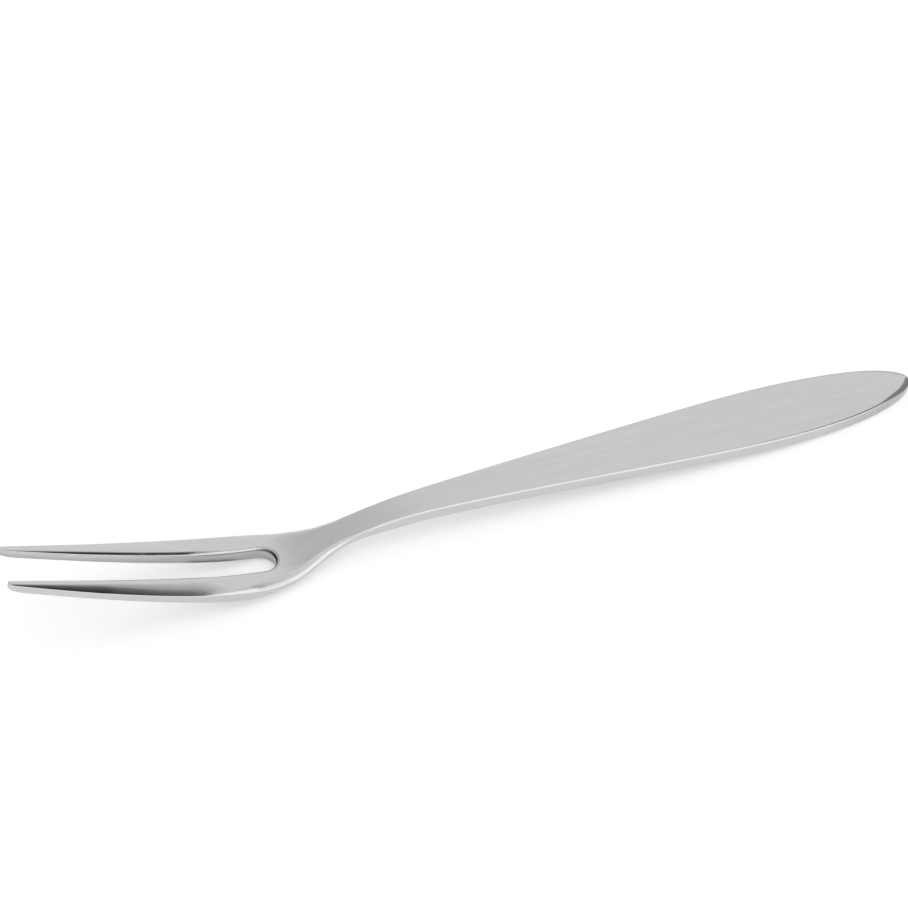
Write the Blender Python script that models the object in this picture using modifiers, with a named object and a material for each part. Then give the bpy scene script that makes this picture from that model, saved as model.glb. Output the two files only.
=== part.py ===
# Two-tine appetizer fork, forged from one piece of stainless steel.
# Stations run along X from the tine tips to the handle end, and the tines curve up towards +Z.

import math

import bmesh
import bpy
import numpy as np
from mathutils import Vector
from mathutils.geometry import interpolate_bezier

MM = 0.001

# Lengths along the top face, millimetres. The head is measured from the tine tips,
# and the handle from its own end, so a longer fork has a longer handle.
LENGTH = 149.6
SLOT_LENGTH = 39.8
HEAD_FROM_TIPS = 34.0
NECK_FROM_TIPS = 53.4
BELLY_FROM_TIPS = 40.8
CREST_FROM_TIPS = 62.6
WIDEST_FROM_END = 27.0
REST_LENGTH = 6.0
CROWN_LENGTH = 20.0
NOSE_LENGTH = 2.5

# Widths across the fork
HANDLE_WIDTH = 12.3
NECK_WIDTH = 4.66
HEAD_WIDTH = 12.36
SLOT_TIP_GAP = 6.23
SLOT_ROOT_GAP = 4.62
TINE_TIP_WIDTH = 0.96

# Heights of the top face over the table
TIP_HEIGHT = 17.15
CREST_HEIGHT = 5.68
TINE_SLOPE = 0.448

# Bends of the outline and the profile: how far a knot's handles reach back and ahead,
# as shares of the stretch there. The tine's tip has one handle, along and across,
# and the handle's point has one that reaches only across, so the point is round.
TINE_BEND = (0.26, 0.417)
HEAD_BEND = (0.324, 0.472)
NECK_BEND = (0.488, 0.222)
WIDEST_BEND = (0.197, 0.762)
POINT_BEND = 0.364
TINE_REACH = 0.366
BELLY_BEND = (0.2, 0.198)
CREST_BEND = (0.488, 0.203)
REST_BEND = (0.213, 0.33)

# Metal thickness. Under the nose of each tine the metal thins to a share of it.
TIP_GAUGE = 1.8
BELLY_GAUGE = 2.36
CREST_GAUGE = 2.02
END_GAUGE = 1.92
NOSE_SHARE = 0.35

# Rounds of the edges. The top edge is rounder at the shoulders of the head and round the handle's end,
# and the rounder stretches fade out over these lengths.
EDGE_ROUND = 0.4
SHOULDER_ROUND = 0.75
END_ROUND = 0.8
SHOULDER_FROM_TIPS = 43.1
SHOULDER_FADE = (13.0, 7.0)
END_FADE = 8.0
ROUND_SHARE = 0.28

# How far the tines' top falls towards their outer edge, and the underside of the neck rises towards its edges
TINE_CROWN = 0.41
NECK_KEEL = 1.0

# How finely the blank is divided
NOSE_ROWS = 2
TINE_ROWS = 21
ROOT_ROWS = 8
SHANK_ROWS = 38
END_ROWS = 16
COLUMNS = 4
CURVE_POINTS = 48
ROUND_SEGMENTS = 2

# The rows fan out from the slot's round end, and from a spot in front of the handle's point.
FAN_BACK = 1.5
FAN_AHEAD = 3.5
POINT_LENGTH = 2.0

# The columns beside a rim are wider than its round, up to a share of the blade.
STRIP_ROOM = 2.4
STRIP_SHARE = 0.42

STEEL_COLOUR = (0.58, 0.58, 0.58, 1)
STEEL_ROUGHNESS = 0.35

RIM_ANGLE = math.radians(50)
SLOPE_STEP = 0.05
NEAR_ENOUGH = 0.001
ROWS = TINE_ROWS + ROOT_ROWS + SHANK_ROWS + END_ROWS
WIDEST_ROUND = max(EDGE_ROUND, SHOULDER_ROUND, END_ROUND)


# A curve is a list of knots: the point, then the reach of its handles back and ahead.
def curve_through(knots):
    points = []
    for (start, _, ahead), (end, back, _) in zip(knots, knots[1:]):
        handles = [Vector(start) + Vector(ahead), Vector(end) + Vector(back)]
        points += interpolate_bezier(Vector(start), *handles, Vector(end), CURVE_POINTS)
    return np.array([point[:2] for point in points]).T


# A knot whose handles lie along the fork
def knot(point, bend, before, after):
    return point, (-bend[0] * before, 0), (bend[1] * after, 0)


def value_at(curve, station):
    return float(np.interp(station, curve[0], curve[1]))


# Half of the fork's width at each station, from the tine tips to the handle's point
def outline_curve():
    head = HEAD_FROM_TIPS
    shoulder = NECK_FROM_TIPS - HEAD_FROM_TIPS
    widest = LENGTH - WIDEST_FROM_END
    taper = widest - NECK_FROM_TIPS
    tip = SLOT_TIP_GAP / 2 + TINE_TIP_WIDTH
    swell = HEAD_WIDTH / 2 - tip
    tine_ahead = (TINE_BEND[0] * head, TINE_BEND[1] * swell)
    point_back = (0, POINT_BEND * HANDLE_WIDTH / 2)
    return curve_through(
        [
            ((0, tip), (0, 0), tine_ahead),
            knot((head, HEAD_WIDTH / 2), HEAD_BEND, head, shoulder),
            knot((NECK_FROM_TIPS, NECK_WIDTH / 2), NECK_BEND, shoulder, taper),
            knot((widest, HANDLE_WIDTH / 2), WIDEST_BEND, taper, WIDEST_FROM_END),
            ((LENGTH, 0), point_back, (0, 0)),
        ]
    )


# Height of the top face at each station: tines, belly, crest behind the neck, flat at the handle's end
def profile_curve():
    belly = BELLY_FROM_TIPS
    neck = CREST_FROM_TIPS - BELLY_FROM_TIPS
    rest = LENGTH - REST_LENGTH
    fall = rest - CREST_FROM_TIPS
    tine_ahead = (TINE_REACH * belly, -TINE_REACH * belly * TINE_SLOPE)
    return curve_through(
        [
            ((0, TIP_HEIGHT), (0, 0), tine_ahead),
            knot((belly, BELLY_GAUGE), BELLY_BEND, belly, neck),
            knot((CREST_FROM_TIPS, CREST_HEIGHT), CREST_BEND, neck, fall),
            knot((rest, END_GAUGE), REST_BEND, fall, REST_LENGTH),
            ((LENGTH, END_GAUGE), (0, 0), (0, 0)),
        ]
    )


# How full the round under a tine's nose is: nothing at the tip, all of it a nose's length behind
def nose_at(station):
    to_nose_end = max(1 - station / NOSE_LENGTH, 0)
    return math.sqrt(1 - to_nose_end**2)


def gauge_at(station):
    stations = [0, BELLY_FROM_TIPS, CREST_FROM_TIPS, LENGTH - REST_LENGTH]
    gauge = float(np.interp(station, stations, [TIP_GAUGE, BELLY_GAUGE, CREST_GAUGE, END_GAUGE]))
    return gauge * (NOSE_SHARE + (1 - NOSE_SHARE) * nose_at(station))


# Half of the gap between the tines, up to where the slot's round end begins
def gap_at(station):
    spread = (SLOT_TIP_GAP - SLOT_ROOT_GAP) / 2
    return SLOT_ROOT_GAP / 2 + spread * max(1 - station / ROUND_END, 0) ** 2


# A thin tine takes a smaller round.
def fitted_round(station, wanted):
    if station >= ROUND_END:
        return wanted
    room = min(gauge_at(station), value_at(OUTLINE, station) - gap_at(station))
    return min(wanted, ROUND_SHARE * room)


def round_at(station):
    return fitted_round(station, EDGE_ROUND)


# The round of the outer top edge
def top_round_at(station):
    shoulder = SHOULDER_FROM_TIPS
    stations = [shoulder - SHOULDER_FADE[0], shoulder, shoulder + SHOULDER_FADE[1], LENGTH - END_FADE, LENGTH]
    rounds = [EDGE_ROUND, SHOULDER_ROUND, EDGE_ROUND, EDGE_ROUND, END_ROUND]
    return fitted_round(station, float(np.interp(station, stations, rounds)))


# How far the tine's top falls at its outer edge. It is full along the tines and gone at the root.
def crown_at(station):
    fade = np.interp(station, [CROWN_LENGTH, SLOT_LENGTH], [1, 0])
    return float(TINE_CROWN * gauge_at(station) / BELLY_GAUGE * fade)


# How far the underside rises at the neck's edges: from in front of the belly until the crest
def keel_at(station):
    start = (HEAD_FROM_TIPS + BELLY_FROM_TIPS) / 2
    stations = [start, SLOT_LENGTH, NECK_FROM_TIPS, CREST_FROM_TIPS]
    fade = np.interp(station, stations, [0, 1, 1, 0])
    return float(NECK_KEEL * fade * fade * (3 - 2 * fade))


ROUND_END = SLOT_LENGTH - SLOT_ROOT_GAP / 2
OUTLINE = outline_curve()
PROFILE = profile_curve()


# Round the handle's end the rows follow the outline, and their inner ends fall behind.
def end_share(row):
    return (row - (ROWS - END_ROWS)) / END_ROWS


# The rows along a tine stand closer together under its nose.
def tine_station(row, last):
    if row < NOSE_ROWS:
        return NOSE_LENGTH * (1 - math.cos(math.pi / 2 * row / NOSE_ROWS))
    share = (row - NOSE_ROWS) / (TINE_ROWS - NOSE_ROWS)
    return NOSE_LENGTH + share * (last - NOSE_LENGTH)


# The inner end of a row lies on the slot's edge or, behind the slot, on the middle of the fork.
def inner_point(row):
    if row <= TINE_ROWS:
        station = tine_station(row, ROUND_END)
        return station, gap_at(station)
    if row < TINE_ROWS + ROOT_ROWS:
        angle = math.pi / 2 * (row - TINE_ROWS) / ROOT_ROWS
        radius = SLOT_ROOT_GAP / 2
        return ROUND_END + radius * math.sin(angle), radius * math.cos(angle)
    if row < ROWS - END_ROWS:
        share = (row - TINE_ROWS - ROOT_ROWS) / SHANK_ROWS
        return SLOT_LENGTH + share * (LENGTH - WIDEST_FROM_END - SLOT_LENGTH), 0.0
    return outer_point(row)[0] - POINT_LENGTH * end_share(row) ** 2, 0.0


def outer_point(row):
    if row > ROWS - END_ROWS:
        end = OUTLINE[:, -CURVE_POINTS:]
        shares = np.linspace(0, 1, CURVE_POINTS)
        return tuple(float(np.interp(end_share(row), shares, values)) for values in end)
    if row <= TINE_ROWS:
        station = tine_station(row, ROUND_END - FAN_BACK)
        return station, value_at(OUTLINE, station)
    rows = [TINE_ROWS, TINE_ROWS + ROOT_ROWS, ROWS - END_ROWS]
    stations = [ROUND_END - FAN_BACK, SLOT_LENGTH + FAN_AHEAD, LENGTH - WIDEST_FROM_END]
    station = float(np.interp(row, rows, stations))
    return station, value_at(OUTLINE, station)


def across(row, column):
    inner = inner_point(row)
    outer = outer_point(row)
    width = math.dist(inner, outer)
    inner_strip = min(STRIP_ROOM * round_at(inner[0]) / width, STRIP_SHARE)
    outer_strip = min(STRIP_ROOM * top_round_at(outer[0]) / width, STRIP_SHARE)
    share = float(np.interp(column, [0, 1, COLUMNS - 1, COLUMNS], [0, inner_strip, 1 - outer_strip, 1]))
    station = inner[0] + share * (outer[0] - inner[0])
    return station, inner[1] + share * (outer[1] - inner[1]), share


def slope_at(station):
    low = max(station - SLOPE_STEP, 0)
    high = min(station + SLOPE_STEP, LENGTH)
    return (value_at(PROFILE, high) - value_at(PROFILE, low)) / (high - low)


# Half of the blank: a grid laid over the plan, given its thickness, and left open at the middle
def half_blank():
    blank = bmesh.new()
    station_of = blank.verts.layers.float.new("station")
    share_of = blank.verts.layers.float.new("share")
    top_of = blank.verts.layers.float.new("top")
    weight_of = blank.edges.layers.float.new("bevel_weight_edge")
    grid = bmesh.ops.create_grid(blank, x_segments=ROWS, y_segments=COLUMNS, size=0.5)
    for vert in grid["verts"]:
        row = round((vert.co.x + 0.5) * ROWS)
        column = round((vert.co.y + 0.5) * COLUMNS)
        station, side, share = across(row, column)
        fall = crown_at(station) * max(2 * share - 1, 0) ** 2
        vert[station_of] = station
        vert[share_of] = share
        vert[top_of] = 1
        vert.co = Vector((station, side, value_at(PROFILE, station) - fall)) * MM
    under = bmesh.ops.extrude_face_region(blank, geom=blank.faces[:], use_keep_orig=True)
    for vert in under["geom"]:
        if isinstance(vert, bmesh.types.BMVert):
            station = vert[station_of]
            slope = slope_at(station)
            depth = gauge_at(station) / math.hypot(1, slope)
            rise = keel_at(station) * vert[share_of] ** 2
            height = value_at(PROFILE, station) - depth + rise
            vert[top_of] = 0
            vert.co = Vector((station + slope * depth, vert.co.y / MM, height)) * MM
    middle = [face for face in blank.faces if max(abs(v.co.y) for v in face.verts) < NEAR_ENOUGH * MM]
    bmesh.ops.delete(blank, geom=middle, context="FACES")
    bmesh.ops.recalc_face_normals(blank, faces=blank.faces[:])
    for edge in blank.edges:
        station = min(vert[station_of] for vert in edge.verts)
        if edge.calc_face_angle(0) > RIM_ANGLE or station > LENGTH - NEAR_ENOUGH:
            outer_top = all(vert[top_of] and vert[share_of] == 1 for vert in edge.verts)
            wanted = top_round_at(station) if outer_top else round_at(station)
            edge[weight_of] = wanted / WIDEST_ROUND
    return blank


def steel():
    material = bpy.data.materials.new("brushed_stainless_steel")
    material.use_nodes = True
    shader = material.node_tree.nodes["Principled BSDF"]
    shader.inputs["Base Color"].default_value = STEEL_COLOUR
    shader.inputs["Metallic"].default_value = 1
    shader.inputs["Roughness"].default_value = STEEL_ROUGHNESS
    return material


def build_fork(collection):
    mesh = bpy.data.meshes.new("fork")
    blank = half_blank()
    for face in blank.faces:
        face.smooth = True
    blank.to_mesh(mesh)
    blank.free()
    fork = bpy.data.objects.new("fork", mesh)
    collection.objects.link(fork)
    mesh.materials.append(steel())
    mirror = fork.modifiers.new("other_half", "MIRROR")
    mirror.use_axis = (False, True, False)
    mirror.merge_threshold = NEAR_ENOUGH * MM
    edges = fork.modifiers.new("rim_round", "BEVEL")
    edges.limit_method = "WEIGHT"
    edges.width = WIDEST_ROUND * MM
    edges.segments = ROUND_SEGMENTS
    edges.use_clamp_overlap = False
    shading = fork.modifiers.new("flat_faces", "WEIGHTED_NORMAL")
    shading.keep_sharp = True
    return fork


# The frame's origin is under the middle of the fork, on the table.
def stand_on_origin(fork):
    bpy.context.view_layer.update()
    shaped = fork.evaluated_get(bpy.context.evaluated_depsgraph_get())
    corners = np.array([vert.co[:] for vert in shaped.data.vertices])
    low = corners.min(axis=0)
    high = corners.max(axis=0)
    fork.location = (-(low[0] + high[0]) / 2, 0, -low[2])


for old in list(bpy.data.objects):
    bpy.data.objects.remove(old)

holder = bpy.data.collections.new("appetizer_fork")
bpy.context.scene.collection.children.link(holder)
stand_on_origin(build_fork(holder))
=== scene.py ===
import math

import bmesh
import bpy
import numpy as np
from mathutils import Matrix, Vector
from mathutils.geometry import interpolate_bezier


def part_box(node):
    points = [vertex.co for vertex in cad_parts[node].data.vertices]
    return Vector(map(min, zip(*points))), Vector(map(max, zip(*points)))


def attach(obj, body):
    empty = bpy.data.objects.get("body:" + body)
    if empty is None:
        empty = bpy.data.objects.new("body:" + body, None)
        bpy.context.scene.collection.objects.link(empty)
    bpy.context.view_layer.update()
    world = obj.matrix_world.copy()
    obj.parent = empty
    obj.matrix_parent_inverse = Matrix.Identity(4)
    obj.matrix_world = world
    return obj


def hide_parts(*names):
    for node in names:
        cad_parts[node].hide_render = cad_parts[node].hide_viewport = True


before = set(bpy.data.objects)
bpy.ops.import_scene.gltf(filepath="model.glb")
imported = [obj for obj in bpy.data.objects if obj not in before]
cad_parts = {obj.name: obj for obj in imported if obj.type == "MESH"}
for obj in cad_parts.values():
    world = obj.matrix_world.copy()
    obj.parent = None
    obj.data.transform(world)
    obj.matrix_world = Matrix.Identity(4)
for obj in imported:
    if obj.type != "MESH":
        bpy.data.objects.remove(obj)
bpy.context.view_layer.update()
mm = 0.001
print("frame loaded:", ", ".join(sorted(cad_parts)))

# the fork's shape in millimetres, stations run along it from the tine tips
forkShape = {
    "length": 149.6,
    "slotLength": 39.5,
    "headFromTips": 34.0,
    "neckFromTips": 53.4,
    "bellyFromTips": 40.8,
    "crestFromTips": 62.6,
    "widestFromEnd": 27.0,
    "restLength": 6.0,
    "noseLength": 2.5,
    "handleWidth": 12.3,
    "neckWidth": 4.66,
    "headWidth": 12.355,
    "slotTipGap": 6.05,
    "slotRootGap": 4.48,
    "tineTipWidth": 0.96,
    "tipHeight": 17.15,
    "crestHeight": 5.68,
    "tineSlope": 0.448,
    "tipGauge": 1.55,
    "bellyGauge": 2.36,
    "crestGauge": 2.02,
    "endGauge": 1.92,
    "noseShare": 0.35,  # thickness left at the very tip
    "tineCrown": 0.57,  # fall of a tine's top at its outer edge, growing with this power of its width
    "crownPower": 1.8,
    "slotCrown": 0.34,  # fall at the slot, over this width
    "slotCrownWidth": 1.0,
    "crownWidth": 2.6,  # a tine narrower than this falls less
    "crownFade": (26.0, 36.0),  # the falls fade out between these stations
    "neckKeel": 1.2,  # rise of the underside at the neck's edges, between these stations
    "keelStations": (32.0, 41.0, 48.0, 60.0),
    # curve handles before and after each knot, as shares of the stretch there
    "tineBend": (0.26, 0.417),
    "headBend": (0.324, 0.472),
    "neckBend": (0.488, 0.222),
    "widestBend": (0.197, 0.762),
    "pointBend": 0.364,
    "tineReach": 0.366,
    "bellyBend": (0.2, 0.198),
    "crestBend": (0.488, 0.203),
    "restBend": (0.213, 0.33),
    # outer edge's rounds: station, width across the top, depth down the side,
    # and the share of that depth that a flat chamfer takes
    "topRounds": [
        (0, 0.12, 0.12, 0),
        (26, 0.14, 0.14, 0),
        (38, 1.7, 1.0, 0),
        (44.5, 2.3, 1.05, 0),
        (53, 0.42, 0.42, 0),
        (141, 0.42, 0.42, 0),
        (145.5, 0.72, 0.45, 0.45),
        (149.6, 0.9, 0.5, 0.5),
    ],
    "chamferFlat": 1.5,  # pull towards the chamfer's lower edge, which flattens its slope
    # the slot's rounds: station, width and depth
    "slotRounds": [(0, 0.1, 0.1), (26, 0.12, 0.12), (32, 0.45, 0.4), (36.5, 0.5, 0.45), (39.5, 0.65, 0.65)],
    "underRound": 0.4,
    "roundShare": 0.42,  # largest round, as a share of the metal's width and thickness
    "slotFade": (3.0, 4.0),  # the slot limits the rounds less and less, from before its round end to past it
    "wallShare": 0.8,  # largest lower round, as a share of the side below the upper one
    "tipStart": 0.1,
    "tipRound": 0.28,
    # station and how many of a section's points are brushed there, the rest of the top is polished
    "brushed": [(27, 0), (37, 19), (50, 19), (56, 15)],
    # rows and columns of the surface
    "tipRings": 7,
    "tineRows": 96,
    "rootRows": 36,
    "shankRows": 150,
    "endRows": 64,
    "curvePoints": 160,
    "roundSteps": 8,
    "fanBack": 1.5,
    "fanAhead": 3.5,
    "pointLength": 2.0,
    "columns": (0, 0.05, 0.1, 0.16, 0.22, 0.3, 0.4, 0.5, 0.58, 0.66, 0.74, 0.82, 0.89, 0.95, 1),
    "slopeStep": 0.4,  # stations to each side that a slope is taken over
    "rimStep": 0.2,  # rows to each side that a rim's direction is taken over
    "uvSize": 10.0,
    "mergeDistance": 0.001,
}
rootEnd = forkShape["tineRows"] + forkShape["rootRows"]
endStart = rootEnd + forkShape["shankRows"]
lastRow = endStart + forkShape["endRows"]
roundEnd = forkShape["slotLength"] - forkShape["slotRootGap"] / 2
tipRound = forkShape["tipRound"]
tipEnd = forkShape["tipStart"] + tipRound
columnCount = len(forkShape["columns"])
sidePoints = 2 * (forkShape["roundSteps"] - 1) + 3  # two rounds and three points between them
underStart = columnCount + sidePoints  # a section's first point on the underside
wallStart = underStart + columnCount - 1  # and the last one, where the slot's wall begins
brushedSlot, polishedSlot, wallSlot = range(3)  # the mesh's material slots


def curveThrough(knots):
    points = []
    for (start, _, ahead), (end, back, _) in zip(knots, knots[1:]):
        handles = [Vector(start) + Vector(ahead), Vector(end) + Vector(back)]
        points += interpolate_bezier(Vector(start), *handles, Vector(end), forkShape["curvePoints"])
    return np.array([point[:2] for point in points]).T


def levelKnot(point, bend, before, after):
    return point, (-bend[0] * before, 0), (bend[1] * after, 0)


def outlineCurve(shape):  # half width at each station
    head, neck = shape["headFromTips"], shape["neckFromTips"]
    end = shape["widestFromEnd"]
    widest = shape["length"] - end
    tip = shape["slotTipGap"] / 2 + shape["tineTipWidth"]
    swell = shape["headWidth"] / 2 - tip
    tineAhead = (shape["tineBend"][0] * head, shape["tineBend"][1] * swell)
    pointBack = (0, shape["pointBend"] * shape["handleWidth"] / 2)
    return curveThrough(
        [
            ((0, tip), (0, 0), tineAhead),
            levelKnot((head, shape["headWidth"] / 2), shape["headBend"], head, neck - head),
            levelKnot((neck, shape["neckWidth"] / 2), shape["neckBend"], neck - head, widest - neck),
            levelKnot((widest, shape["handleWidth"] / 2), shape["widestBend"], widest - neck, end),
            ((shape["length"], 0), pointBack, (0, 0)),
        ]
    )


def profileCurve(shape):  # height of the top face at each station
    belly, crest = shape["bellyFromTips"], shape["crestFromTips"]
    rest = shape["length"] - shape["restLength"]
    reach = shape["tineReach"] * belly
    return curveThrough(
        [
            ((0, shape["tipHeight"]), (0, 0), (reach, -reach * shape["tineSlope"])),
            levelKnot((belly, shape["bellyGauge"]), shape["bellyBend"], belly, crest - belly),
            levelKnot((crest, shape["crestHeight"]), shape["crestBend"], crest - belly, rest - crest),
            levelKnot((rest, shape["endGauge"]), shape["restBend"], rest - crest, shape["restLength"]),
            ((shape["length"], shape["endGauge"]), (0, 0), (0, 0)),
        ]
    )


outline = outlineCurve(forkShape)
profile = profileCurve(forkShape)


def between(station, stations, values):
    return float(np.interp(station, stations, values))


def eased(share):
    return share * share * (3 - 2 * share)


def halfWidthAt(station):
    return between(station, *outline)


def heightAt(station):
    return between(station, *profile)


def slopeAt(station):
    low = max(station - forkShape["slopeStep"], 0)
    high = min(station + forkShape["slopeStep"], forkShape["length"])
    return (heightAt(high) - heightAt(low)) / (high - low)


def gaugeAt(station):
    shape = forkShape
    stations = [0, shape["bellyFromTips"], shape["crestFromTips"], shape["length"] - shape["restLength"]]
    gauges = [shape[name] for name in ("tipGauge", "bellyGauge", "crestGauge", "endGauge")]
    toNoseEnd = min(max(1 - station / shape["noseLength"], 0), 1)
    nose = shape["noseShare"] + (1 - shape["noseShare"]) * math.sqrt(1 - toNoseEnd**2)
    return between(station, stations, gauges) * nose


def gapAt(station):  # half the gap between the tines
    radius = forkShape["slotRootGap"] / 2
    if station > roundEnd:
        return math.sqrt(max(radius**2 - (station - roundEnd) ** 2, 0))
    spread = forkShape["slotTipGap"] / 2 - radius
    return radius + spread * max(1 - station / roundEnd, 0) ** 2


def thinLimit(station, width, depth):  # thin metal takes a smaller round
    share = forkShape["roundShare"]
    back, ahead = forkShape["slotFade"]
    slotShare = eased(between(station, [roundEnd - back, forkShape["slotLength"] + ahead], [1, 0]))
    gap = gapAt(min(station, roundEnd)) * slotShare
    room = share * (max(halfWidthAt(station), forkShape["neckWidth"] / 2) - gap)
    return min(width, room), min(depth, share * gaugeAt(station), room)


def roundAt(stops, station):  # an edge's width, depth and, if the stops have one, chamfer share
    first = max(index for index, stop in enumerate(stops[:-1]) if stop[0] <= max(station, 0))
    (start, *before), (end, *after) = stops[first], stops[first + 1]
    share = eased(min(max((station - start) / (end - start), 0), 1))
    width, depth, *flat = (low + (high - low) * share for low, high in zip(before, after))
    return *thinLimit(station, width, depth), *flat


def crownShare(station):  # the tines' crown shrinks towards the tips and fades out at the root
    width = halfWidthAt(station) - gapAt(station)
    return min(width / forkShape["crownWidth"], 1) * eased(between(station, forkShape["crownFade"], [1, 0]))


def keelAt(station):
    return forkShape["neckKeel"] * eased(between(station, forkShape["keelStations"], [0, 1, 1, 0]))


def tineStation(row):
    return tipEnd + (roundEnd - tipEnd) * row / forkShape["tineRows"]


def innerRim(row):  # the slot's edge, then the middle of the fork
    shape = forkShape
    if row <= shape["tineRows"]:
        station = tineStation(row)
        return Vector((station, gapAt(station)))
    if row < rootEnd:
        turn = math.pi / 2 * (row - shape["tineRows"]) / shape["rootRows"]
        radius = shape["slotRootGap"] / 2
        return Vector((roundEnd + radius * math.sin(turn), radius * math.cos(turn)))
    if row <= endStart:
        first = shape["slotLength"] + shape["slotRounds"][-1][1]
        share = (row - rootEnd) / shape["shankRows"]
        return Vector((first + share * (shape["length"] - shape["widestFromEnd"] - first), 0))
    return Vector((outerRim(row).x - shape["pointLength"] * endShare(row) ** 2, 0))


def slotEdge(row):  # the slot's edge right up to the middle of the fork
    return innerRim(row) if row < rootEnd else Vector((forkShape["slotLength"], 0))


def endShare(row):
    return (row - endStart) / forkShape["endRows"]


def outerRim(row):
    shape = forkShape
    if row > endStart:
        end = outline[:, -shape["curvePoints"]:]
        shares = np.linspace(0, 1, shape["curvePoints"])
        return Vector([between(endShare(row), shares, values) for values in end])
    if row < 0:
        station = tineStation(row)
    else:
        stations = [tipEnd, roundEnd - shape["fanBack"], shape["slotLength"] + shape["fanAhead"]]
        stations.append(shape["length"] - shape["widestFromEnd"])
        station = between(row, [0, shape["tineRows"], rootEnd, endStart], stations)
    return Vector((station, halfWidthAt(station)))


def intoMetal(rim, row, side, high):  # unit step from a rim into the metal, in plan
    along = rim(min(row + forkShape["rimStep"], high)) - rim(row - forkShape["rimStep"])
    return Vector((-along.y, along.x)).normalized() * side


def topAt(plan, share):
    shape = forkShape
    fromSlot = share * (halfWidthAt(plan.x) - gapAt(plan.x))
    outerFall = shape["tineCrown"] * max(share, 0) ** shape["crownPower"]
    slotFall = shape["slotCrown"] * max(1 - fromSlot / shape["slotCrownWidth"], 0) ** 2
    return Vector((plan.x, plan.y, heightAt(plan.x) - (outerFall + slotFall) * crownShare(plan.x)))


def underAt(plan, share):
    slope = slopeAt(plan.x)
    depth = gaugeAt(plan.x) / math.hypot(1, slope)
    rise = keelAt(plan.x) * share**2
    return Vector((plan.x + slope * depth, plan.y, heightAt(plan.x) - depth + rise))


def roundCorner(start, corner, end, flat=0):  # points of an arc between two faces, or of a flatter chamfer
    corner = corner.lerp(end, flat)
    weight = math.sin((start - corner).angle(end - corner) / 2) * (1 + forkShape["chamferFlat"] * flat)
    points = []
    for step in range(1, forkShape["roundSteps"]):
        share = step / forkShape["roundSteps"]
        pull = 2 * share * (1 - share) * weight
        total = (1 - share) ** 2 + pull + share**2
        points.append(((1 - share) ** 2 * start + pull * corner + share**2 * end) / total)
    return points


def roundedEdge(top, topCorner, depth, under, underCorner, underDepth, flat=0):  # from the top down
    down = (underCorner - topCorner).normalized()
    underDepth = min(underDepth, forkShape["wallShare"] * ((underCorner - topCorner).length - depth))
    high, low = topCorner + down * depth, underCorner - down * underDepth
    wall = [high, (high + low) / 2, low]
    return roundCorner(top, topCorner, high, flat) + wall + roundCorner(low, underCorner, under)


def faceRow(faceAt, inner, inset, outer, outset):  # one row across the top or the underside
    width = (outer - inner).length
    first, last = inset.length / width, 1 - outset.length / width
    row = []
    for column in forkShape["columns"]:
        plan = (inner + inset).lerp(outer + outset, column)
        row.append(faceAt(plan, first + (last - first) * column))
    return row


def section(row):  # points round half of the fork at one row, from the inner top edge
    slotted = row <= rootEnd
    outer = outerRim(row)
    inner = slotEdge(row) if slotted else innerRim(row)
    outward = intoMetal(outerRim, row, -1, lastRow)
    inward = intoMetal(slotEdge, row, 1, rootEnd) if slotted else Vector((0, 0))
    width, depth, flat = roundAt(forkShape["topRounds"], outer.x)
    slotWidth, slotDepth = roundAt(forkShape["slotRounds"], inner.x)
    underRound = thinLimit(outer.x, forkShape["underRound"], forkShape["underRound"])[1]
    top = faceRow(topAt, inner, inward * slotWidth, outer, outward * width)
    under = faceRow(underAt, inner, inward * underRound, outer, outward * underRound)[::-1]
    side = roundedEdge(top[-1], topAt(outer, 1), depth, under[0], underAt(outer, 1), underRound, flat)
    ring = top + side + under
    if slotted:
        wall = roundedEdge(top[0], topAt(inner, 0), slotDepth, under[-1], underAt(inner, 0), underRound)
        ring += wall[::-1]
    if row == lastRow:  # the halves meet at the handle's point
        for point in ring:
            point.y = 0
    return ring


def tipSections():  # rings that close round the front of a tine
    rings = []
    normal = Vector((forkShape["tineSlope"], 0, 1)).normalized()
    for step in range(forkShape["tipRings"], 0, -1):
        turn = math.pi / 2 * step / forkShape["tipRings"]
        station = tipEnd - tipRound * math.sin(turn)
        ring = section(-forkShape["tineRows"] * tipRound * math.sin(turn) / (roundEnd - tipEnd))
        middle = sum(ring, Vector()) / len(ring)
        inset = tipRound * (1 - math.cos(turn))
        across = 1 - 2 * inset / forkShape["tineTipWidth"]
        through = 1 - 2 * inset / gaugeAt(station)
        for point in ring:
            away = point - middle
            lift = away.dot(normal) * normal
            point.xyz = middle + Vector((away.x - lift.x, away.y * across, away.z - lift.z)) + lift * through
        rings.append(ring)
    return rings


def finishAt(spot, station):
    if spot >= wallStart:
        return wallSlot
    brushedColumns = round(between(station, *zip(*forkShape["brushed"])))
    return brushedSlot if spot < brushedColumns or spot >= underStart else polishedSlot


def skinSections(work, rings, wallPlace):  # faces between neighbouring sections
    slottedCount = forkShape["tipRings"] + rootEnd
    for index, (ring, following) in enumerate(zip(rings, rings[1:])):
        for spot in range(len(ring) if index < slottedCount else wallStart):
            after = (spot + 1) % len(ring)
            face = work.faces.new((ring[spot], ring[after], following[after], following[spot]))
            face.material_index = finishAt(spot, ring[0].co.x / mm)
            if face.material_index == wallSlot:  # station, and 0 at the wall's top to 1 at its foot
                for loop, place in zip(face.loops, (spot, spot + 1, spot + 1, spot)):
                    down = 1 - (place - wallStart) / (len(ring) - wallStart)
                    loop[wallPlace].uv = (loop.vert.co.x / mm, down)
    work.faces.new(rings[0]).material_index = polishedSlot


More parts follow.
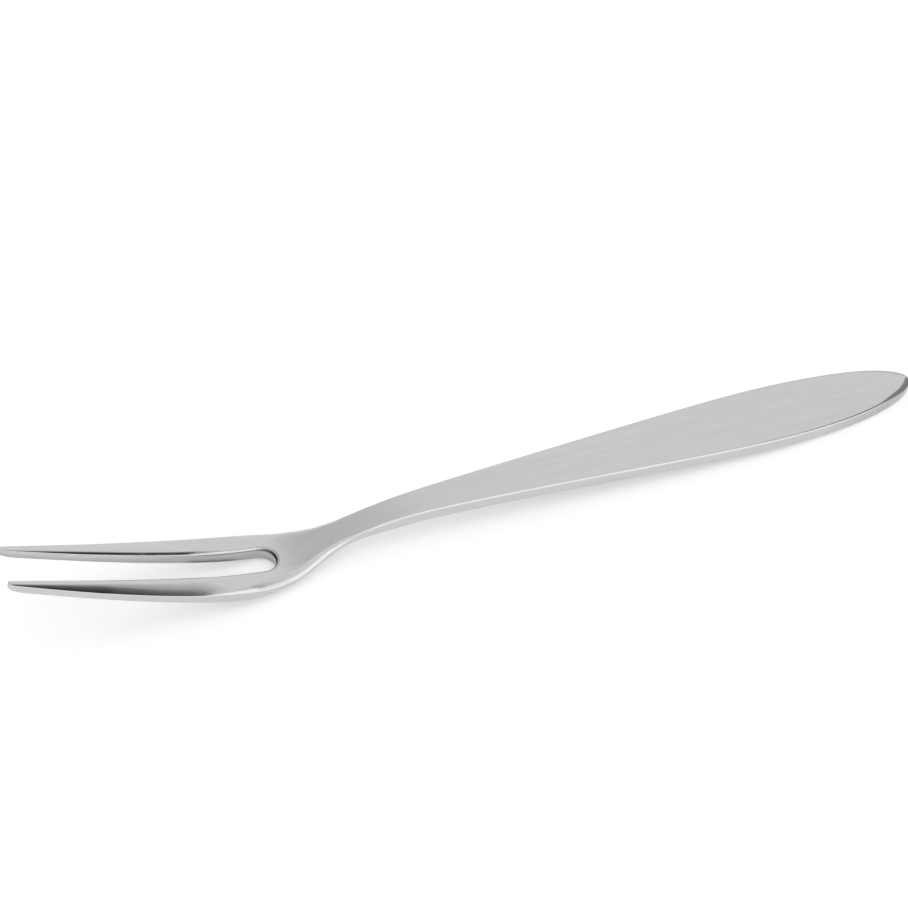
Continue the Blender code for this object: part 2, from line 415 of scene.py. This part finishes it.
def buildFork(materials):
    work = bmesh.new()
    lengthwise = work.loops.layers.uv.new("lengthwise")
    wallPlace = work.loops.layers.uv.new("slotWall")
    sections = tipSections() + [section(row) for row in range(lastRow + 1)]
    skinSections(work, [[work.verts.new(point * mm) for point in ring] for ring in sections], wallPlace)
    bmesh.ops.recalc_face_normals(work, faces=work.faces[:])
    for face in work.faces:
        face.smooth = True
        for loop in face.loops:
            place = loop.vert.co / mm / forkShape["uvSize"]
            loop[lengthwise].uv = (place.x, place.y + place.z)
    mesh = bpy.data.meshes.new("forkSteel")
    work.to_mesh(mesh)
    work.free()
    for material in materials:
        mesh.materials.append(material)
    piece = bpy.data.objects.new("forkSteel", mesh)
    bpy.context.scene.collection.objects.link(piece)
    mirror = piece.modifiers.new("otherHalf", "MIRROR")
    mirror.use_axis = (False, True, False)
    mirror.merge_threshold = forkShape["mergeDistance"] * mm
    piece.modifiers.new("flatFaces", "WEIGHTED_NORMAL").keep_sharp = True
    return piece


def seatOnFrame(piece):  # the handle's end and the table side meet the frame's box
    low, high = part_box("fork")
    corners = np.array([vert.co[:] for vert in piece.data.vertices])
    piece.location.x = high.x - corners[:, 0].max()
    piece.location.z = low.z - corners[:, 2].min()


def addNode(tree, kind, place, inputs=None, **settings):
    made = tree.nodes.new(kind)
    made.location = place
    for name, value in settings.items():
        setattr(made, name, value)
    for name, value in (inputs or {}).items():
        if isinstance(value, bpy.types.NodeSocket):
            tree.links.new(value, made.inputs[name])
        else:
            made.inputs[name].default_value = value
    return made


def mathNode(tree, place, operation, *values):
    return addNode(tree, "ShaderNodeMath", place, dict(enumerate(values)), operation=operation).outputs[0]


def rangeNode(tree, place, value, span, levels=(0, 1), **settings):
    inputs = dict(enumerate((value, *span, *levels)))
    return addNode(tree, "ShaderNodeMapRange", place, inputs, **settings).outputs[0]


def noiseNode(tree, place, where, detail, scale=1):
    inputs = {"Vector": where, "Scale": scale, "Detail": detail}
    return addNode(tree, "ShaderNodeTexNoise", place, inputs).outputs[0]


def stretchNode(tree, place, where, stretch):
    inputs = {0: where, 1: stretch}
    return addNode(tree, "ShaderNodeVectorMath", place, inputs, operation="MULTIPLY").outputs[0]


def newGroup(name, inputs, outputs):
    group = bpy.data.node_groups.new(name, "ShaderNodeTree")
    for label, value in inputs.items():
        socket = group.interface.new_socket(label, in_out="INPUT", socket_type="NodeSocketFloat")
        socket.default_value = value
    for label in outputs:
        group.interface.new_socket(label, in_out="OUTPUT", socket_type="NodeSocketFloat")
    start = addNode(group, "NodeGroupInput", (-900, 0))
    end = addNode(group, "NodeGroupOutput", (700, 0))
    return group, start.outputs, end.inputs


# fine lines left by the belt, running the length of the fork, and wider bands as shares of the lines' scale
grainLook = {
    "inputs": {"Lines per mm": 6, "Line length mm": 14},
    "lineDetail": 3,
    "bandDetail": 2,
    "bandStretch": (0.35, 0.12, 0.12),
}


def brushGrainGroup():
    group, given, result = newGroup("brushGrain", grainLook["inputs"], ["Lines", "Bands"])
    where = addNode(group, "ShaderNodeTexCoord", (-900, 300)).outputs["Object"]
    along = mathNode(group, (-700, -60), "DIVIDE", 1 / mm, given["Line length mm"])
    across = mathNode(group, (-700, -220), "MULTIPLY", 1 / mm, given["Lines per mm"])
    stretch = addNode(group, "ShaderNodeCombineXYZ", (-500, -100), {"X": along, "Y": across, "Z": across})
    fine = stretchNode(group, (-300, 200), where, stretch.outputs[0])
    wide = stretchNode(group, (-300, -100), fine, grainLook["bandStretch"])
    group.links.new(noiseNode(group, (-100, 200), fine, grainLook["lineDetail"]), result["Lines"])
    group.links.new(noiseNode(group, (-100, -100), wide, grainLook["bandDetail"]), result["Bands"])
    return group


# soft smudges and hairline scratches from use
marksLook = {
    "inputs": {"Smudge size mm": 9, "Scratch width": 0.006},
    "smudgeDetail": 4,
    "smudgeRange": (0.35, 0.7),
    "scratchTurn": 0.5,
    "scratchStretch": (60, 420, 420),
    "scratchDetail": 1,
    "scratchLevel": 0.5,  # level of the noise that a scratch follows
}


def handlingMarksGroup():
    look = marksLook
    group, given, result = newGroup("handlingMarks", look["inputs"], ["Smudges", "Scratches"])
    where = addNode(group, "ShaderNodeTexCoord", (-900, 300)).outputs["Object"]
    spread = mathNode(group, (-700, 100), "DIVIDE", 1 / mm, given["Smudge size mm"])
    smudge = noiseNode(group, (-400, 200), where, look["smudgeDetail"], spread)
    soft = rangeNode(group, (-100, 200), smudge, look["smudgeRange"], interpolation_type="SMOOTHSTEP")
    turning = {"Vector": where, "Rotation": (0, 0, look["scratchTurn"]), "Scale": look["scratchStretch"]}
    turned = addNode(group, "ShaderNodeMapping", (-700, -200), turning).outputs[0]
    field = noiseNode(group, (-400, -200), turned, look["scratchDetail"])
    offset = mathNode(group, (-200, -200), "SUBTRACT", field, look["scratchLevel"])
    depth = mathNode(group, (0, -200), "ABSOLUTE", offset)
    hair = mathNode(group, (200, -200), "LESS_THAN", depth, given["Scratch width"])
    group.links.new(soft, result["Smudges"])
    group.links.new(hair, result["Scratches"])
    return group


brushGrain = brushGrainGroup()
handlingMarks = handlingMarksGroup()

# painted shade and painted dark reflections on the slot's wall, as stations and levels: darker towards its
# lower edge, towards the root, along the foot and in the corner at the root
slotShade = {
    "lower": 0.64,
    "root": 0.86,
    "start": 24.0,
    "end": 34.0,
    "foot": 0.3,
    "footStart": 25.8,
    "footEnd": 34.5,
    "corner": 0.04,
    "cornerStart": 36.9,
    "cornerEnd": 39.5,
}
# where those begin and end on the wall, from 0 at its top to 1 at its foot
wallBands = {
    "lower": (0.44, 0.6),
    "foot": (0.5, 0.57),
    "cornerIn": (0.14, 0.22),
    "cornerOut": (0.34, 0.46),
    "footFade": 2.0,  # millimetres in which the foot's line comes and goes
}
# painted shade in the rim's colour towards the handle's end
rimShade = {"level": 0.82, "start": 130.0, "end": 142.0}  # darkening of the rim towards the handle's end


# paints shade and dark reflections into the colour of the slot's wall
def slotShadeGroup():
    group, given, result = newGroup("slotShade", slotShade, ["Shade"])
    wall = addNode(group, "ShaderNodeUVMap", (-900, 300), uv_map="slotWall").outputs[0]
    place = addNode(group, "ShaderNodeSeparateXYZ", (-700, 300), {0: wall}).outputs
    station, down = place["X"], place["Y"]
    lower = rangeNode(group, (-300, 300), down, wallBands["lower"], (1, given["lower"]))
    root = rangeNode(group, (-300, 0), station, (given["start"], given["end"]), (1, given["root"]))
    inCorner = rangeNode(group, (-500, -300), station, (given["cornerStart"], given["cornerEnd"]))
    above = rangeNode(group, (-700, -600), down, wallBands["cornerOut"], (1, 0))
    below = rangeNode(group, (-700, -900), down, wallBands["cornerIn"])
    band = mathNode(group, (-500, -700), "MULTIPLY", above, below)
    cornerBand = mathNode(group, (-300, -400), "MULTIPLY", inCorner, band)
    corner = rangeNode(group, (-100, -300), cornerBand, (0, 1), (1, given["corner"]))
    fromStart = mathNode(group, (-700, -1200), "SUBTRACT", station, given["footStart"])
    toEnd = mathNode(group, (-700, -1400), "SUBTRACT", given["footEnd"], station)
    within = mathNode(group, (-500, -1300), "MINIMUM", fromStart, toEnd)
    along = rangeNode(group, (-300, -1300), within, (0, wallBands["footFade"]))
    low = rangeNode(group, (-300, -1600), down, wallBands["foot"])
    footBand = mathNode(group, (-100, -1400), "MULTIPLY", along, low)
    foot = rangeNode(group, (100, -1400), footBand, (0, 1), (1, given["foot"]))
    shade = lower
    for step, other in enumerate((root, corner, foot)):
        shade = mathNode(group, (200 * step, 0), "MULTIPLY", shade, other)
    group.links.new(shade, result["Shade"])
    return group


# paints shade into the colour of the rim towards the handle's end
def rimShadeGroup():
    group, given, result = newGroup("rimShade", rimShade, ["Shade"])
    where = addNode(group, "ShaderNodeTexCoord", (-900, 300)).outputs["Object"]
    place = addNode(group, "ShaderNodeSeparateXYZ", (-700, 300), {0: where})
    station = mathNode(group, (-500, 300), "MULTIPLY", place.outputs["X"], 1 / mm)
    level = rangeNode(group, (-300, 0), station, (given["start"], given["end"]), (1, given["level"]))
    group.links.new(level, result["Shade"])
    return group


# finish of the brushed faces and of the polished edges
brushedFinish = {
    "dark": (0.56, 0.56, 0.56, 1),
    "light": (0.6, 0.6, 0.6, 1),
    "roughness": (0.19, 0.27),
    "linesPerMm": 7,
    "lineLength": 16,
    "bump": 0.05,
    "bumpDepth": 0.004,
    "anisotropic": 0.5,
}
polishedFinish = {
    "dark": (0.55, 0.55, 0.55, 1),
    "light": (0.6, 0.6, 0.6, 1),
    "roughness": (0.08, 0.17),
    "linesPerMm": 10,
    "lineLength": 6,
    "bump": 0.02,
    "bumpDepth": 0.002,
    "anisotropic": 0.0,
}
steelMix = {"streaks": (0.7, 1.3), "wear": 0.2}  # range of the grain that colours, and wear everywhere


def steelMaterial(name, finish, shade=None):
    material = bpy.data.materials.new(name)
    material.use_nodes = True
    tree = material.node_tree
    shader = tree.nodes["Principled BSDF"]
    spacing = {"Lines per mm": finish["linesPerMm"], "Line length mm": finish["lineLength"]}
    grain = addNode(tree, "ShaderNodeGroup", (-900, 200), spacing, node_tree=brushGrain).outputs
    marks = addNode(tree, "ShaderNodeGroup", (-900, -200), node_tree=handlingMarks).outputs
    mixed = mathNode(tree, (-650, 250), "ADD", grain["Lines"], grain["Bands"])
    streak = rangeNode(tree, (-480, 250), mixed, steelMix["streaks"])
    tones = {0: streak, 6: finish["dark"], 7: finish["light"]}
    tint = addNode(tree, "ShaderNodeMix", (-280, 300), tones, data_type="RGBA").outputs[2]
    worn = mathNode(tree, (-480, 0), "MULTIPLY_ADD", streak, marks["Smudges"], steelMix["wear"])
    rough = rangeNode(tree, (-280, 0), worn, (0, 1), finish["roughness"])
    height = mathNode(tree, (-480, -250), "SUBTRACT", grain["Lines"], marks["Scratches"])
    relief = {"Height": height, "Strength": finish["bump"], "Distance": finish["bumpDepth"] * mm}
    bump = addNode(tree, "ShaderNodeBump", (-280, -250), relief).outputs[0]
    # an optional shade group paints shade into the base colour
    if shade:
        dim = addNode(tree, "ShaderNodeGroup", (-280, 500), node_tree=shade).outputs["Shade"]
        dimmed = {0: tint, "Scale": dim}
        tint = addNode(tree, "ShaderNodeVectorMath", (-100, 400), dimmed, operation="SCALE").outputs[0]
    lengthwise = {"direction_type": "UV_MAP", "uv_map": "lengthwise"}
    tangent = addNode(tree, "ShaderNodeTangent", (-280, -480), **lengthwise).outputs[0]
    for socket, value in {"Base Color": tint, "Roughness": rough, "Normal": bump, "Tangent": tangent}.items():
        tree.links.new(value, shader.inputs[socket])
    shader.inputs["Metallic"].default_value = 1
    shader.inputs["Anisotropic"].default_value = finish["anisotropic"]
    return material


forkSteel = buildFork(
    [
        steelMaterial("brushedSteel", brushedFinish),
        # the polished rim and the slot's wall get painted shade in their colour
        steelMaterial("polishedSteel", polishedFinish, rimShadeGroup()),
        steelMaterial("slotSteel", polishedFinish, slotShadeGroup()),
    ]
)
seatOnFrame(forkSteel)
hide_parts("fork")
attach(forkSteel, "root")
print("fork made:", len(forkSteel.data.polygons) * 2, "faces")

# plain pale table top, white where it is seen or mirrored, with the fork's shadow on it
tableLook = {"size": 6.0, "colour": (0.89, 0.89, 0.89, 1), "glow": 0.31, "gap": 0.01}


def seenRays(tree, place):  # camera, glossy and transmission rays
    rays = addNode(tree, "ShaderNodeLightPath", place).outputs
    across, down = place
    direct = mathNode(tree, (across + 200, down), "MAXIMUM", rays["Is Camera Ray"], rays["Is Glossy Ray"])
    return mathNode(tree, (across + 400, down), "MAXIMUM", direct, rays["Is Transmission Ray"])


def bareMaterial(name):
    material = bpy.data.materials.new(name)
    material.use_nodes = True
    material.node_tree.nodes.clear()
    return material


def buildTable():
    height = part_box("fork")[0].z - tableLook["gap"] * mm
    bpy.ops.mesh.primitive_plane_add(size=tableLook["size"], location=(0, 0, height))
    table = bpy.context.object
    table.name = "tableTop"
    material = bareMaterial("paleTable")
    tree = material.node_tree
    paint = addNode(tree, "ShaderNodeBsdfDiffuse", (0, 100), {"Color": tableLook["colour"]})
    level = mathNode(tree, (-200, -100), "MULTIPLY", seenRays(tree, (-800, -100)), tableLook["glow"])
    glow = addNode(tree, "ShaderNodeEmission", (0, -100), {"Strength": level})
    both = addNode(tree, "ShaderNodeAddShader", (200, 0), {0: paint.outputs[0], 1: glow.outputs[0]})
    addNode(tree, "ShaderNodeOutputMaterial", (400, 0), {"Surface": both.outputs[0]})
    table.data.materials.append(material)


# cards that only the metal mirrors: direction in degrees from +X towards +Y, elevation and distance from the
# aim, size in metres, brightness at the card's two ends, and how late the change between them comes
cards = {
    "sideFlag": {
        "aim": (0, 0, 0),
        "turn": 7,
        "rise": 30,
        "away": 1.0,
        "size": (1.0, 0.9),
        "levels": (0.02, 1.0),
        "late": 2.5,
    },
    "tipFlag": {
        "aim": (0, 0, 0),
        "turn": -26,
        "rise": 37,
        "away": 0.98,
        "size": (0.32, 0.28),
        "levels": (0.0, 0.0),
        "late": 1,
    },
    "edgeFlag": {
        "aim": (0, 0, 0),
        "turn": 13,
        "rise": 50,
        "away": 0.5,
        "size": (0.2, 0.1),
        "levels": (0.0, 0.3),
        "late": 3,
    },
    "endCard": {
        "aim": (0.072, 0, 0),
        "turn": 8,
        "rise": 38,
        "away": 0.4,
        "size": (0.36, 0.22),
        "levels": (0.55, 0.35),
        "late": 0.5,
    },
    "endGlow": {
        "aim": (0.066, 0, 0),
        "turn": -34,
        "rise": 40,
        "away": 0.2,
        "size": (0.085, 0.08),
        "levels": (1.5, 1.5),
        "late": 1,
    },
    "farCard": {
        "aim": (0.07, 0, 0),
        "turn": 65,
        "rise": 13,
        "away": 0.15,
        "size": (0.11, 0.055),
        "levels": (0.72, 0.72),
        "late": 1,
    },
    "frontCard": {
        "aim": (0, 0, 0),
        "turn": -62,
        "rise": 46,
        "away": 1.0,
        "size": (1.1, 0.9),
        "levels": (1.5, 1.5),
        "late": 1,
    },
    "greyCard": {
        "aim": (0, 0, 0),
        "turn": 104,
        "rise": 38,
        "away": 0.8,
        "size": (0.76, 0.96),
        "levels": (1.0, 0.62),
        "late": 0.7,
    },
}


def buildCard(name, card):
    turn, rise = math.radians(card["turn"]), math.radians(card["rise"])
    towards = Vector((math.cos(turn) * math.cos(rise), math.sin(turn) * math.cos(rise), math.sin(rise)))
    bpy.ops.mesh.primitive_plane_add(size=1, location=Vector(card["aim"]) + towards * card["away"])
    board = bpy.context.object
    board.name = name
    board.rotation_euler = towards.to_track_quat("Z", "Y").to_euler()
    board.scale = (*card["size"], 1)
    material = bareMaterial(name)
    tree = material.node_tree
    where = addNode(tree, "ShaderNodeTexCoord", (-800, 0)).outputs["Generated"]
    along = addNode(tree, "ShaderNodeSeparateXYZ", (-600, 0), {0: where}).outputs["X"]
    late = mathNode(tree, (-400, 0), "POWER", along, card["late"])
    level = rangeNode(tree, (-200, 0), late, (0, 1), card["levels"])
    glow = addNode(tree, "ShaderNodeEmission", (0, 0), {"Strength": level})
    addNode(tree, "ShaderNodeOutputMaterial", (200, 0), {"Surface": glow.outputs[0]})
    board.data.materials.append(material)
    board.visible_camera = board.visible_diffuse = board.visible_shadow = False


# soft light: an even white room and one soft box overhead
light = {"room": 0.68, "boxSize": 0.7, "boxPower": 1.3, "boxPlace": (0.16, -0.2, 0.75)}


def buildLight():
    world = bpy.data.worlds.new("whiteRoom")
    bpy.context.scene.world = world
    world.use_nodes = True
    tree = world.node_tree
    room = tree.nodes["Background"]
    room.inputs["Color"].default_value = (1, 1, 1, 1)
    level = rangeNode(tree, (-200, 0), seenRays(tree, (-800, 0)), (0, 1), (light["room"], 1))
    tree.links.new(level, room.inputs["Strength"])
    lamp = bpy.data.lights.new("softBox", "AREA")
    lamp.size = light["boxSize"]
    lamp.energy = light["boxPower"]
    softBox = bpy.data.objects.new("softBox", lamp)
    bpy.context.scene.collection.objects.link(softBox)
    softBox.visible_glossy = False
    softBox.location = light["boxPlace"]
    softBox.rotation_euler = Vector(light["boxPlace"]).to_track_quat("Z", "Y").to_euler()


buildTable()
for cardName, cardPlace in cards.items():
    buildCard(cardName, cardPlace)
buildLight()
print("table, cards and light made")

# the photograph's camera: angles in degrees, distances in millimetres, focal length in image pixels
photoCamera = {
    "turn": 21.02,
    "elevation": 46.0,
    "roll": -0.282,
    "distance": 322.29,
    "target": (-1.22, 12.47, 0),
    "clipStart": 10,
    "focalPixels": 2000,
    "imagePixels": 908,
}


def buildCamera():
    view = photoCamera
    turn, rise, roll = (math.radians(view[name]) for name in ("turn", "elevation", "roll"))
    ahead = Vector((math.sin(turn), math.cos(turn), 0))
    forward = ahead * math.cos(rise) - Vector((0, 0, math.sin(rise)))
    level = Vector((math.cos(turn), -math.sin(turn), 0))
    upright = ahead * math.sin(rise) + Vector((0, 0, math.cos(rise)))
    right = level * math.cos(roll) + upright * math.sin(roll)
    up = upright * math.cos(roll) - level * math.sin(roll)
    data = bpy.data.cameras.new("photoCamera")
    data.lens = data.sensor_width * view["focalPixels"] / view["imagePixels"]
    data.clip_start = view["clipStart"] * mm
    camera = bpy.data.objects.new("photoCamera", data)
    bpy.context.scene.collection.objects.link(camera)
    place = (Vector(view["target"]) - forward * view["distance"]) * mm
    camera.matrix_world = Matrix.Translation(place) @ Matrix((right, up, -forward)).transposed().to_4x4()
    bpy.context.scene.camera = camera


buildCamera()
bpy.context.scene.view_settings.view_transform = "Standard"
print("camera set")
